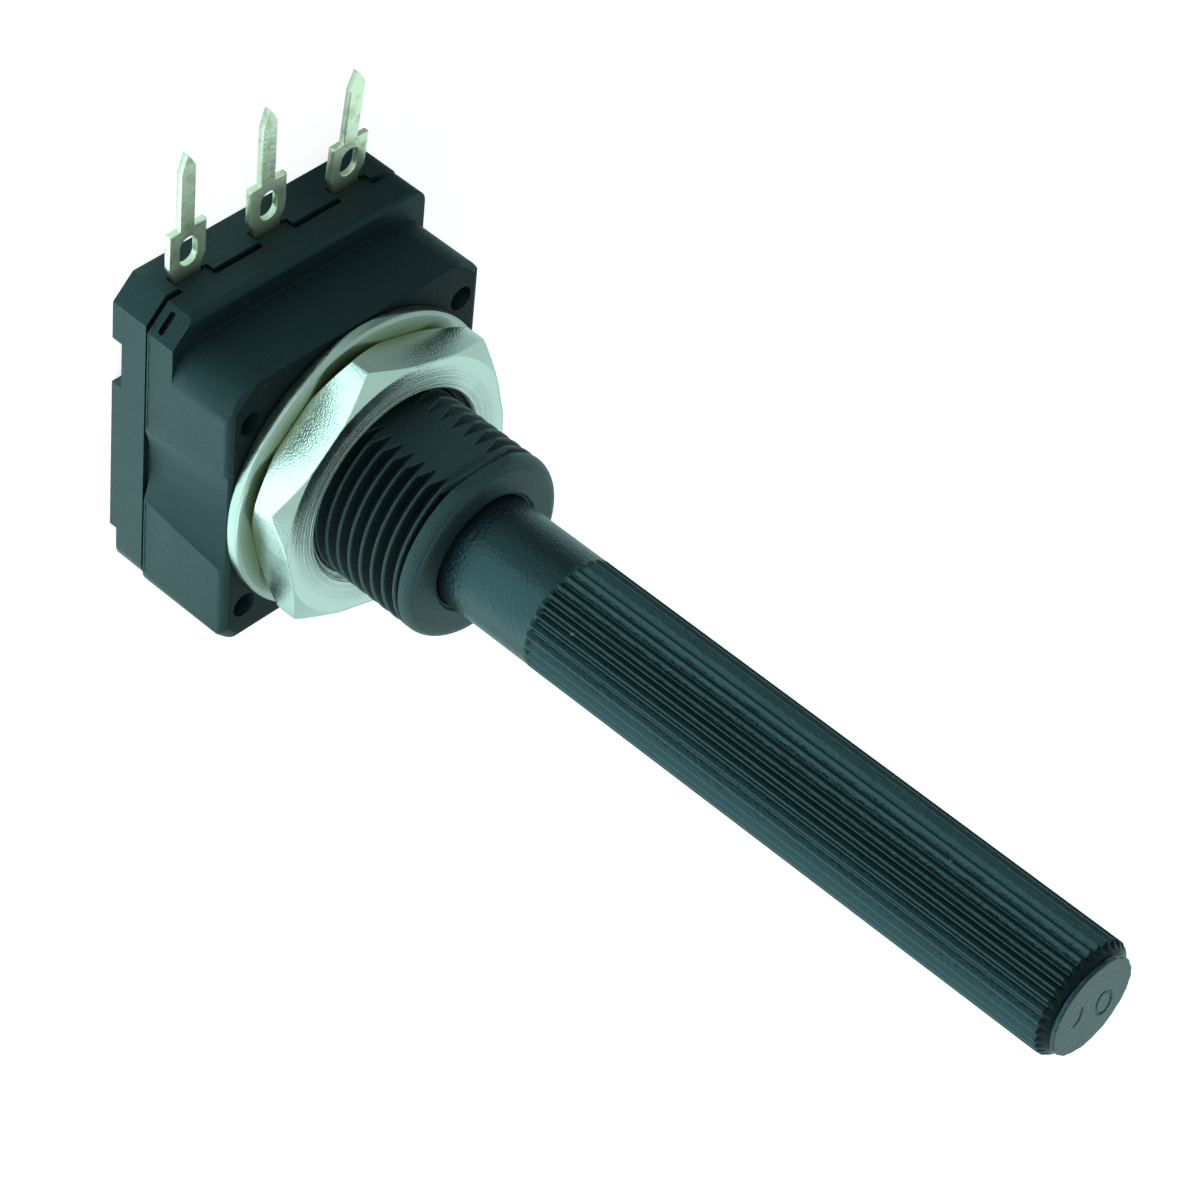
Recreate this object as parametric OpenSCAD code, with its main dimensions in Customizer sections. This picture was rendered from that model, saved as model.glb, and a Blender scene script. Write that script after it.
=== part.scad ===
// Rotary potentiometer, 16 mm square moulded type with a threaded plastic bush,
// a long splined plastic spindle, three flat terminals, a plain washer and a thin nut.
// The origin is on the spindle axis at the rear face. +Z runs along the spindle to its
// tip, +Y points to the terminals and +X to the right as seen from the tip.

/* [Case] */
// Width and height of the square case front
case_w = 16; // [15.6:0.1:18]
// Distance that the case front sits above the spindle axis
case_lift = 0.1; // [0:0.05:0.3]
// Height of the mounting face above the rear face
case_z = 8.15; // [8:0.05:10]
// Radius of the two upper case corners
upper_corner_r = 1.9; // [1.2:0.1:2]
// Radius of the two lower case corners
lower_corner_r = 0.95; // [0.9:0.05:1.2]
// Radius of the front edges at the sides and the bottom
front_edge_r = 0.5; // [0.2:0.05:0.7]
// Height of the cover's rim above the rear face
joint_z = 2.26; // [2.2:0.02:2.5]
// Width of the visible joint between cover and case
joint_gap = 0.22; // [0.1:0.02:0.3]
// Thickness of the flange at the back of the case
flange_t = 1.7; // [1.4:0.05:2]
// Height of the flange above the top of the case front
flange_rise = 1.4; // [1.2:0.05:1.5]
// Thickness of the case's front wall
wall_t = 1.4; // [1.2:0.1:1.6]

/* [Bush] */
// Length of the bush from the mounting face
bush_l = 9; // [8:0.1:12]
// Distance between the thread's crests
thread_pitch = 0.75; // [0.7:0.05:1.2]
// Depth of the thread's grooves
thread_depth = 0.44; // [0.3:0.01:0.5]
// Depth of the smooth parting flats below the thread's crests
bush_flat_depth = 0.52; // [0.5:0.01:0.6]
// Rounding of the bush's end
bush_end_r = 0.7; // [0.4:0.1:0.9]
// Depth of the recess round the spindle at the bush's end
bush_recess = 0.6; // [0.4:0.1:0.8]
// Share of the bush's wall that the recess takes
recess_share = 0.31; // [0.2:0.01:0.4]

/* [Spindle] */
// Diameter over the spline teeth
spline_d = 6; // [5.96:0.01:6.02]
// Number of spline teeth
spline_n = 32; // [24:2:40]
// Depth of the spline grooves
spline_depth = 0.25; // [0.15:0.01:0.3]
// Length of the spindle in front of the mounting face
spindle_l = 45.9; // [35:0.05:60]
// Length of the splined end
spline_l = 31.5; // [15:0.1:32]
// Diameter of the plain collar
collar_d = 5.96; // [5.9:0.01:5.96]
// Radial running clearance of the spindle in the bush
spindle_gap = 0.05; // [0.03:0.01:0.08]

/* [Terminals] */
// Distance of the outer terminals from the sides of the case
terminal_inset = 3; // [3:0.1:3.4]
// Thickness of the terminal strip
terminal_t = 0.35; // [0.25:0.05:0.4]
// Length of a terminal beyond the board's edge
terminal_l = 8.15; // [7:0.05:9.4]
// Distance from the board's edge to the shoulders
shoulder_l = 3.85; // [3.6:0.05:4.2]
// Width of the eyelet plate
eyelet_w = 2.25; // [2.1:0.05:2.3]
// Width of the narrow pin
pin_w = 0.88; // [0.7:0.01:1]

/* [Washer and nut] */
// How far the washer stands out beyond each side of the case
washer_over = 0.05; // [-0.3:0.05:0.4]
// Radial clearance of the washer on the bush
washer_gap = 0.25; // [0.15:0.05:0.4]
// Thickness of the washer
washer_t = 0.7; // [0.5:0.05:1]
// Distance from the washer's rim to the nut's flats
nut_inset = 1.1; // [0.9:0.05:1.5]
// Wall of the nut between the bush and the flats
nut_wall = 2; // [1.9:0.05:2.2]
// Thickness of the nut
nut_t = 2.35; // [2:0.05:2.6]
// Radial clearance of the nut on the bush
nut_gap = 0.05; // [0.02:0.01:0.08]
// Angle at which the nut stands
nut_angle = -16.5; // [-30:0.5:30]

/* [Hidden] */
$fn = 96;

// A little extra length, so that cuts pass clean through
over = 0.5;

// Case
half_w = case_w / 2;
case_top = half_w + case_lift;
case_bottom = case_lift - half_w;
flange_top = case_top + flange_rise;
flange_z0 = joint_z + joint_gap;
flange_z = flange_z0 + flange_t;
flange_cut = 1.25;
flange_corner_r = 0.95;
flange_edge_r = 0.33;
front_corner_r = 0.8;
rim_inset = 0.4;
wall_z = case_z - wall_t;
side_wall = 1.4;
cavity_r = half_w - side_wall;
post_inset_x = 1.3;
post_inset_y = 2.2;
post_x = half_w - post_inset_x;
post_y = half_w - post_inset_y;
post_hole_r = 0.66;
post_r = 0.5;
post_sunk = 1.2;
scoop_depth = 0.35;
scoop_half = 2.15;
scoop_r = (pow(scoop_half, 2) + pow(scoop_depth, 2)) / (2 * scoop_depth);
scoop_l = 5.2;
gate_rise = 0.6;
gate_l = 0.9;
gate_w = 0.34;
gate_depth = 0.3;

// Cover
cover_inset = 0.1;
cover_rise = 0.15;
cover_lift = 0.05;
cover_half = half_w - cover_inset;
cover_top = flange_top + cover_rise;
cover_bottom = case_bottom + cover_lift;
cover_cut = 1.2;
cover_corner_r = 0.85;
cover_low_r = 1.1;
back_z = 0.46;
back_inset = 2.25;
back_low_y = cover_bottom + back_inset;
notch_w = 2.7;
notch_inset = 3.4;
notch_y1 = cover_top - notch_inset;
notch_y0 = notch_y1 - notch_w;
notch_depth = 2.2;
notch_z = 0.64;
floor_z = 0.91;
board_gap = 0.1;

// Track board and prints
board_inset = 1.9;
board_drop = 0.9;
board_half = half_w - board_inset;
board_top = flange_top - board_drop;
board_t = 0.5;
print_t = 0.05;
tang_w = 3.6;
ring_clear = 0.2;
track_margin = 1.6;
ring_share = 0.33;
track_share = 0.43;
ring_r0 = tang_w / 2 + ring_clear;
track_r1 = cavity_r - track_margin;
ring_r1 = ring_r0 + (track_r1 - ring_r0) * ring_share;
track_r0 = track_r1 - (track_r1 - ring_r0) * track_share;
track_mid = (track_r0 + track_r1) / 2;
ring_mid = (ring_r0 + ring_r1) / 2;
track_gap = 60;
lead_half = 0.6;
pad_half = 0.8;
pad_inset = 0.2;
pad_l = 1.5;
pad_y1 = board_top - pad_inset;
pad_y0 = pad_y1 - pad_l;
pad_turn = 8;
print_z = floor_z + board_t;
terminal_z = print_z + print_t;
terminal_front = terminal_z + terminal_t;

// Terminals
terminal_pitch = half_w - terminal_inset;
terminal_tip_y = board_top + terminal_l;
shoulder_y = board_top + shoulder_l;
rivet_inset = 1;
rivet_y = board_top - rivet_inset;
rivet_r = 0.4;
rivet_head_r = 0.72;
rivet_head_t = 0.2;
stem_half = 0.85;
eyelet_l = 1.95;
taper_l = 0.7;
eyelet_y = shoulder_y - eyelet_l;
stem_y = eyelet_y - taper_l;
hole_half = 0.53;
hole_inset = 0.58;
hole_l = 1.62;
hole_y1 = shoulder_y - hole_inset;
hole_y0 = hole_y1 - hole_l;
hole_x = 0.04;
point_l = 1;
point_cut_l = 0.8;
point_bend_l = 0.35;
point_side = 0.25;
point_tip = 0.1;
pin_x = -0.06;
slot_half = 0.95;
slot_gap = 0.05;
tongue_left = 0.85;
tongue_right = 1.15;
tongue_gap = 0.03;

// Turning parts
collar_r = collar_d / 2;
bore_r = collar_r + spindle_gap;
tip_z = case_z + spindle_l;
spline_z = tip_z - spline_l;
spline_r = spline_d / 2;
root_r = spline_r - spline_depth;
run_out = 0.5;
tooth_clear = 0.02;
tip_chamfer_z = 0.7;
tip_disc_r = 2.56;
tip_disc_t = 0.22;
end_play = 0.05;
crest_share = 0.09;
collar_rim = 1.22;
collar_flange_r = collar_r + collar_rim;
collar_flange_t = 1;
collar_flange_z = wall_z - end_play - collar_flange_t;
tang_z = 2.7;
rotor_z = 3.3;
rotor_t = 1.4;
rotor_margin = 1.2;
lug_gap = 0.3;
stop_l = 0.85;
rotor_r = cavity_r - rotor_margin;
hub_r = 3.4;
lug_r = cavity_r - lug_gap;
stop_r = cavity_r - stop_l;
stop_angle = 15;
lug_angle = 14.5;
wiper_t = 0.2;
wiper_gap = 0.04;
contact_r = 0.28;
peg_r = 0.3;
plate_w = 1.5;
plate_edge = 0.3;
plate_x1 = ring_r1;
plate_x0 = plate_x1 - plate_w;
peg_inset_x = 0.7;
peg_inset_y = 0.15;
peg_x = plate_x1 - peg_inset_x;
peg_ys = [-ring_mid - peg_inset_y, peg_inset_y - track_mid];
arm_w = 0.64;
contact_x = 0.1;
arm_end_x = -0.7;
arm_end_rise = 0.5;

// Washer and nut
washer_d = case_w + 2 * washer_over;
nut_af = washer_d - 2 * nut_inset;
bush_r = nut_af / 2 - nut_wall;
bush_z = case_z + bush_l;
bush_flat = bush_r - bush_flat_depth;
crest_w = 0.09;
groove_half = (thread_pitch - crest_w) / 2;
groove_z0 = case_z + thread_pitch;
groove_n = floor((bush_l - bush_end_r - thread_pitch - groove_half) / thread_pitch) + 1;
recess_r = bore_r + (bush_r - bore_r) * recess_share;
washer_bore = 2 * (bush_r + washer_gap);
nut_z = case_z + washer_t;
nut_ring_over = 0.08;
nut_ring_r = nut_af / 2 + nut_ring_over;
nut_corner_r = nut_af / 2 / cos(30);
nut_chamfer = 30;
nut_bore_r = bush_r + nut_gap;
nut_sink = 0.35;

plastic = [0.16, 0.2, 0.21];
spindle_plastic = [0.2, 0.27, 0.29];
tin = [0.75, 0.78, 0.7];
steel = [0.8, 0.82, 0.8];
brown_board = [0.5, 0.33, 0.18];
carbon = [0.08, 0.08, 0.08];
silver = [0.8, 0.8, 0.78];

// Rectangle from a corner to the opposite corner, with its four corners rounded:
// radius low at the bottom and radius high at the top
module round_rect(x0, y0, x1, y1, low, high) {
    translate([x0, y0 + low]) square([x1 - x0, y1 - y0 - low - high]);
    translate([x0 + low, y0]) square([x1 - x0 - 2 * low, low]);
    translate([x0 + high, y1 - high]) square([x1 - x0 - 2 * high, high]);
    for (x = [x0 + low, x1 - low]) translate([x, y0 + low]) circle(r = low);
    for (x = [x0 + high, x1 - high]) translate([x, y1 - high]) circle(r = high);
}

// Rectangle about the Y axis: upper left corner cut, the other corners rounded
module back_rect(half, y0, y1, low, cut, high) {
    polygon([
        [-half, y0 + low], [half, y0 + low], [half, y1 - high],
        [half - high, y1], [-half + cut, y1], [-half, y1 - cut]
    ]);
    translate([half - high, y1 - high]) circle(r = high);
    round_rect(-half, y0, half, y1 - 2 * cut, low, low);
}

module flange_outline(inset) {
    back_rect(half_w - inset, case_bottom + inset, flange_top - inset, lower_corner_r, flange_cut,
        flange_corner_r);
}

module cover_outline() {
    back_rect(cover_half, cover_bottom, cover_top, cover_low_r, cover_cut, cover_corner_r);
}

// Flat sector between two radii, half the given angle to each side of a direction
module ring_sector(r0, r1, direction, half_angle) {
    reach = r1 * 2;
    intersection() {
        difference() {
            circle(r = r1);
            circle(r = r0);
        }
        rotate(direction)
            polygon([[0, 0], [reach * cos(half_angle), -reach * sin(half_angle)],
                [reach * cos(half_angle), reach * sin(half_angle)]]);
    }
}

// Strip of a given thickness bent along a list of points, with round bends
module bent_strip(points, thick) {
    for (i = [0 : len(points) - 2]) {
        run = points[i + 1] - points[i];
        translate(points[i])
            rotate(atan2(run[1], run[0]))
                translate([0, -thick / 2])
                    square([norm(run), thick]);
    }
    for (p = points) translate(p) circle(d = thick, $fn = 24);
}

// Solid of the square case front: its front edge is rounded at the sides and the bottom,
// and a turned form rounds off the four front corners
module case_block() {
    reach = norm([half_w - lower_corner_r, case_bottom + lower_corner_r]) + lower_corner_r;
    intersection() {
        translate([0, 0, flange_z0])
            linear_extrude(case_z - flange_z0)
                round_rect(-half_w, case_bottom, half_w, case_top, lower_corner_r, upper_corner_r);
        translate([0, case_w, 0])
            rotate([90, 0, 0])
                linear_extrude(2 * case_w)
                    round_rect(-half_w, 0, half_w, case_z, front_edge_r, front_edge_r);
        translate([-case_w, 0, 0])
            rotate([90, 0, 90])
                linear_extrude(2 * case_w) case_side_profile();
        rotate_extrude() {
            square([reach, case_z - front_corner_r]);
            square([reach - front_corner_r, case_z]);
            translate([reach - front_corner_r, case_z - front_corner_r]) circle(r = front_corner_r);
        }
    }
}

// Side view of the case block: only its lower front edge is rounded
module case_side_profile() {
    translate([case_bottom, 0]) square([case_w, case_z - front_edge_r]);
    translate([case_bottom + front_edge_r, 0]) square([case_w - front_edge_r, case_z]);
    translate([case_bottom + front_edge_r, case_z - front_edge_r]) circle(r = front_edge_r);
}

// Flange at the back of the case, its upper front edge rounded, with the rim that meets the cover
module case_flange() {
    translate([0, 0, joint_z]) linear_extrude(2 * joint_gap) flange_outline(rim_inset);
    translate([0, 0, flange_z0]) linear_extrude(flange_t - flange_edge_r) flange_outline(0);
    intersection() {
        translate([0, 0, flange_z0]) linear_extrude(flange_t) flange_outline(0);
        translate([-case_w, 0, 0])
            rotate([90, 0, 90])
                linear_extrude(2 * case_w) {
                    translate([-case_w, 0]) square([case_w + flange_top - flange_edge_r, flange_z]);
                    translate([flange_top - flange_edge_r, flange_z - flange_edge_r])
                        circle(r = flange_edge_r, $fn = 48);
                }
    }
}

// Shallow hollow along one side of the case, deepest at the joint and running out forward
module side_scoop(side) {
    tilt = atan2(scoop_depth, scoop_l);
    translate([side * half_w, 0, joint_z])
        rotate([0, -side * tilt, 0])
            translate([side * (scoop_r - scoop_depth), 0, -over])
                cylinder(h = scoop_l + 2 * over, r = scoop_r, $fn = 180);
}

// Slot that the moulding's gate left on the left cut corner of the flange
module gate_slot() {
    translate([-half_w + flange_cut / 2, flange_top - flange_cut / 2, flange_z0 + gate_rise])
        rotate([0, 0, 45])
            rotate([-90, 0, 0])
                translate([0, 0, -gate_depth])
                    linear_extrude(2 * gate_depth)
                        bent_strip([[-gate_l / 2, 0], [gate_l / 2, 0]], gate_w);
}

module post_places() {
    for (x = [-post_x, post_x])
        for (y = [-post_y, post_y])
            translate([x, y, 0]) children();
}

module terminal_places() {
    for (i = [-1 : 1]) translate([i * terminal_pitch, 0, 0]) children();
}

// Half section of the bush up to its rounded end, with one groove for each turn of the thread
module grooved_side() {
    polygon([
        [0, case_z - over],
        [bush_r, case_z - over],
        for (i = [0 : groove_n - 1])
            for (k = [[-groove_half, 0], [0, thread_depth], [groove_half, 0]])
                [bush_r - k[1], groove_z0 + i * thread_pitch + k[0]],
        [bush_r, bush_z - bush_end_r],
        [0, bush_z - bush_end_r]
    ]);
}

// Outer form of the bush with its rounded end, turned about the axis
module bush_body() {
    intersection() {
        rotate_extrude()
            union() {
                grooved_side();
                translate([0, case_z - over]) square([bush_r - bush_end_r, bush_l + over]);
                translate([bush_r - bush_end_r, bush_z - bush_end_r]) circle(r = bush_end_r);
            }
        translate([-case_w, -bush_flat, 0]) cube([2 * case_w, 2 * bush_flat, bush_z + over]);
    }
}

module front_housing() {
    color(plastic)
        difference() {
            union() {
                case_block();
                case_flange();
                terminal_places()
                    translate([-tongue_left, board_top + board_gap, terminal_front + tongue_gap])
                        cube([tongue_left + tongue_right, flange_top - board_top - board_gap,
                            flange_z0 - terminal_front - tongue_gap + over]);
                bush_body();
            }
            difference() {
                translate([0, 0, joint_z - over]) cylinder(h = wall_z - joint_z + over, r = cavity_r);
                translate([0, 0, joint_z])
                    linear_extrude(wall_z) ring_sector(stop_r, cavity_r + over, 90, stop_angle);
            }
            cylinder(h = bush_z + over, r = bore_r);
            translate([0, 0, bush_z - bush_recess]) cylinder(h = bush_recess + over, r = recess_r);
            post_places()
                translate([0, 0, joint_z - over]) cylinder(h = case_z, r = post_hole_r, $fn = 32);
            side_scoop(-1);
            side_scoop(1);
            gate_slot();
        }
}

// Raised back of the cover, with a notch in each side
module cover_back() {
    difference() {
        intersection() {
            cover_outline();
            translate([-case_w, back_low_y]) square([2 * case_w, 2 * case_w]);
        }
        for (x = [-cover_half - over, cover_half - notch_depth])
            translate([x, notch_y0]) square([notch_depth + over, notch_y1 - notch_y0]);
    }
}

module rear_cover() {
    color(plastic) {
        difference() {
            union() {
                translate([0, 0, notch_z]) linear_extrude(joint_z - notch_z) cover_outline();
                translate([0, 0, back_z])
                    linear_extrude(notch_z - back_z + over)
                        intersection() {
                            cover_outline();
                            translate([-case_w, -case_w]) square([2 * case_w, case_w + notch_y0]);
                        }
                linear_extrude(notch_z + over) cover_back();
            }
            translate([0, 0, floor_z])
                linear_extrude(joint_z) {
                    circle(r = cavity_r + board_gap);
                    translate([-board_half - board_gap, 0])
                        square([2 * (board_half + board_gap), board_top + board_gap]);
                }
            terminal_places() {
                translate([-slot_half, board_top, terminal_z - slot_gap])
                    cube([2 * slot_half, case_w, joint_z]);
                translate([-tongue_left - slot_gap, board_top, terminal_front])
                    cube([tongue_left + tongue_right + 2 * slot_gap, case_w, joint_z]);
                translate([0, rivet_y, floor_z - rivet_head_t - board_gap])
                    cylinder(h = joint_z, r = rivet_head_r + board_gap, $fn = 32);
            }
        }
        post_places()
            translate([0, 0, joint_z - over])
                cylinder(h = case_z - post_sunk - joint_z + over, r = post_r, $fn = 32);
    }
}

// Cross-section of the splined end: sharp grooves between narrow crests
module spline_section() {
    pitch = 360 / spline_n;
    crest = pitch * crest_share;
    polygon([
        for (i = [0 : spline_n - 1])
            for (k = [[-crest, spline_r], [crest, spline_r], [pitch / 2 - crest, root_r],
                    [pitch / 2 + crest, root_r]])
                [k[1] * cos(i * pitch + k[0]), k[1] * sin(i * pitch + k[0])]
    ]);
}

module spindle() {
    color(spindle_plastic) {
        translate([0, 0, collar_flange_z + collar_flange_t - over])
            cylinder(h = spline_z - collar_flange_z - collar_flange_t + over, r = collar_r);
        translate([0, 0, collar_flange_z]) cylinder(h = collar_flange_t, r = collar_flange_r);
        translate([-tang_w / 2, -tang_w / 2, tang_z])
            cube([tang_w, tang_w, collar_flange_z - tang_z + over]);
        translate([0, 0, spline_z]) cylinder(h = run_out, r1 = collar_r, r2 = root_r - 2 * tooth_clear);
        intersection() {
            translate([0, 0, spline_z]) linear_extrude(spline_l - tip_disc_t) spline_section();
            union() {
                translate([0, 0, spline_z - over])
                    cylinder(h = spline_l + over - tip_chamfer_z, r = spline_r + over);
                translate([0, 0, tip_z - tip_chamfer_z])
                    cylinder(h = tip_chamfer_z, r1 = spline_r + tooth_clear, r2 = tip_disc_r);
            }
        }
        translate([0, 0, tip_z - tip_chamfer_z]) cylinder(h = tip_chamfer_z, r = tip_disc_r);
    }
}

// Carrier disc with its hub, its stop lug opposite the terminals and the wiper's pegs
module rotor() {
    color(spindle_plastic)
        difference() {
            union() {
                translate([0, 0, rotor_z]) cylinder(h = rotor_t, r = rotor_r);
                translate([0, 0, rotor_z]) cylinder(h = collar_flange_z - rotor_z, r = hub_r);
                translate([0, 0, rotor_z])
                    linear_extrude(rotor_t) ring_sector(rotor_r - over, lug_r, -90, lug_angle);
                for (y = peg_ys)
                    translate([peg_x, y, rotor_z - 2 * wiper_t])
                        cylinder(h = 3 * wiper_t, r = peg_r, $fn = 24);
            }
            translate([-tang_w / 2, -tang_w / 2, rotor_z - over]) cube([tang_w, tang_w, case_z]);
        }
}

// Sprung contact: a plate under the rotor and two arms that bend down to the prints
module wiper() {
    foot_z = terminal_z + wiper_gap + contact_r;
    arm = [[plate_x0 + wiper_t, rotor_z - wiper_t / 2], [plate_x0, rotor_z - wiper_t / 2],
        [contact_x, foot_z], [arm_end_x, foot_z + arm_end_rise]];
    color(silver)
        difference() {
            union() {
                translate([plate_x0, -track_mid - plate_edge, rotor_z - wiper_t])
                    cube([plate_x1 - plate_x0, track_mid - ring_mid + 2 * plate_edge, wiper_t]);
                for (y = [-track_mid, -ring_mid])
                    translate([0, y + arm_w / 2, 0])
                        rotate([90, 0, 0])
                            linear_extrude(arm_w) {
                                bent_strip(arm, wiper_t);
                                translate([contact_x, foot_z]) circle(r = contact_r, $fn = 32);
                            }
            }
            for (y = peg_ys)
                translate([peg_x, y, rotor_z - over]) cylinder(h = 2 * over, r = peg_r, $fn = 24);
        }
}

module track_board() {
    color(brown_board)
        translate([0, 0, floor_z])
            linear_extrude(board_t)
                difference() {
                    union() {
                        circle(r = cavity_r);
                        translate([-board_half, 0]) square([2 * board_half, board_top]);
                    }
                    for (i = [-1 : 1])
                        translate([i * terminal_pitch, rivet_y]) circle(r = rivet_r, $fn = 32);
                }
}

module carbon_track() {
    color(carbon)
        translate([0, 0, print_z])
            linear_extrude(print_t) ring_sector_open(track_r0, track_r1, track_gap / 2);
}

// Ring with a gap of twice the given angle about the +Y direction
module ring_sector_open(r0, r1, half_gap) {
    reach = 2 * r1;
    difference() {
        circle(r = r1);
        circle(r = r0);
        polygon([[0, 0], [reach * sin(half_gap), reach * cos(half_gap)],
            [-reach * sin(half_gap), reach * cos(half_gap)]]);
    }
}

module collector_track() {
    color(silver)
        translate([0, 0, print_z])
            linear_extrude(print_t)
                difference() {
                    union() {
                        circle(r = ring_r1);
                        translate([-lead_half, 0]) square([2 * lead_half, pad_y1]);
                        translate([-pad_half, pad_y0]) square([2 * pad_half, pad_y1 - pad_y0]);
                    }
                    circle(r = ring_r0);
                    translate([0, rivet_y]) circle(r = rivet_r, $fn = 32);
                }
}

// Silvered lead from the right end of the track to the right terminal
module end_pad() {
    a = 90 - track_gap / 2;
    b = a + pad_turn;
    translate([0, 0, print_z])
        linear_extrude(print_t)
            difference() {
                polygon([
                    track_r0 * [cos(a), sin(a)], track_r1 * [cos(a), sin(a)],
                    [terminal_pitch + pad_half, pad_y0], [terminal_pitch + pad_half, pad_y1],
                    [terminal_pitch - pad_half, pad_y1], [terminal_pitch - pad_half, pad_y0],
                    track_r1 * [cos(b), sin(b)], track_r0 * [cos(b), sin(b)]
                ]);
                translate([terminal_pitch, rivet_y]) circle(r = rivet_r, $fn = 32);
            }
}

module end_pad_right() {
    color(silver) end_pad();
}

module end_pad_left() {
    color(silver) mirror([1, 0, 0]) end_pad();
}

// Stamped terminal: round foot at the rivet, stem, eyelet plate with shoulders, pointed pin
module terminal() {
    half = eyelet_w / 2;
    pin0 = pin_x - pin_w / 2;
    pin1 = pin_x + pin_w / 2;
    color(tin)
        translate([0, 0, terminal_z])
            linear_extrude(terminal_t)
                difference() {
                    union() {
                        translate([0, rivet_y]) circle(r = stem_half, $fn = 48);
                        polygon([
                            [-stem_half, rivet_y], [stem_half, rivet_y], [stem_half, stem_y],
                            [half, eyelet_y], [half, shoulder_y],
                            [pin1, shoulder_y], [pin1, terminal_tip_y - point_cut_l],
                            [pin1 - point_side, terminal_tip_y - point_bend_l],
                            [pin_x - point_tip, terminal_tip_y],
                            [pin0, terminal_tip_y - point_l], [pin0, shoulder_y],
                            [-half, shoulder_y], [-half, eyelet_y], [-stem_half, stem_y]
                        ]);
                    }
                    translate([0, rivet_y]) circle(r = rivet_r, $fn = 32);
                    for (y = [hole_y0 + hole_half, hole_y1 - hole_half])
                        translate([hole_x, y]) circle(r = hole_half, $fn = 48);
                    translate([hole_x - hole_half, hole_y0 + hole_half])
                        square([2 * hole_half, hole_y1 - hole_y0 - 2 * hole_half]);
                }
}

module terminal_left() {
    translate([-terminal_pitch, 0, 0]) terminal();
}

module terminal_centre() {
    terminal();
}

module terminal_right() {
    translate([terminal_pitch, 0, 0]) terminal();
}

// Rivet through board, print and terminal, with a flat head on each side
module rivet() {
    color(tin)
        translate([0, rivet_y, 0]) {
            translate([0, 0, floor_z - rivet_head_t])
                cylinder(h = rivet_head_t, r = rivet_head_r, $fn = 32);
            translate([0, 0, floor_z - rivet_head_t / 2])
                cylinder(h = terminal_front - floor_z + rivet_head_t, r = rivet_r, $fn = 32);
            translate([0, 0, terminal_front]) cylinder(h = rivet_head_t, r = rivet_head_r, $fn = 32);
        }
}

module rivet_left() {
    translate([-terminal_pitch, 0, 0]) rivet();
}

module rivet_centre() {
    rivet();
}

module rivet_right() {
    translate([terminal_pitch, 0, 0]) rivet();
}

module washer() {
    color(steel)
        translate([0, 0, case_z])
            difference() {
                cylinder(h = washer_t, d = washer_d);
                translate([0, 0, -over]) cylinder(h = washer_t + 2 * over, d = washer_bore);
            }
}

// Hexagon nut with both faces chamfered down to the corners and a countersunk bore
module nut() {
    rise = (nut_corner_r + over - nut_ring_r) * tan(nut_chamfer);
    color(steel)
        translate([0, 0, nut_z])
            difference() {
                intersection() {
                    rotate(nut_angle) cylinder(h = nut_t, r = nut_corner_r, $fn = 6);
                    rotate_extrude()
                        polygon([
                            [0, 0], [nut_ring_r, 0], [nut_corner_r + over, rise],
                            [nut_corner_r + over, nut_t - rise], [nut_ring_r, nut_t], [0, nut_t]
                        ]);
                }
                translate([0, 0, -over]) cylinder(h = nut_t + 2 * over, r = nut_bore_r);
                translate([0, 0, nut_t - nut_sink])
                    cylinder(h = nut_sink, r1 = nut_bore_r, r2 = nut_bore_r + nut_sink);
            }
}

front_housing();
rear_cover();
spindle();
rotor();
wiper();
track_board();
carbon_track();
collector_track();
end_pad_left();
end_pad_right();
terminal_left();
terminal_centre();
terminal_right();
rivet_left();
rivet_centre();
rivet_right();
washer();
nut();
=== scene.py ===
import math

import bpy
import numpy as np
from mathutils import Matrix, Vector


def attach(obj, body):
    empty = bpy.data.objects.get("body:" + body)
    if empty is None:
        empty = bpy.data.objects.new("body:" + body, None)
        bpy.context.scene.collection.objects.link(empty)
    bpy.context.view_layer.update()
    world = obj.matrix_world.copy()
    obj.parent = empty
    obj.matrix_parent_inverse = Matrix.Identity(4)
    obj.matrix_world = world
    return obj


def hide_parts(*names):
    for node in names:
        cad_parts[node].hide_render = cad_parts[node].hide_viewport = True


bl_info = {
    "name": "Splined Potentiometer Looks",
    "version": (1, 0, 0),
    "blender": (4, 5, 0),
    "location": "View3D > Sidebar > Potentiometer",
    "description": "Builds the visible surfaces, materials and studio of a rotary potentiometer",
    "category": "Object",
}

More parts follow.
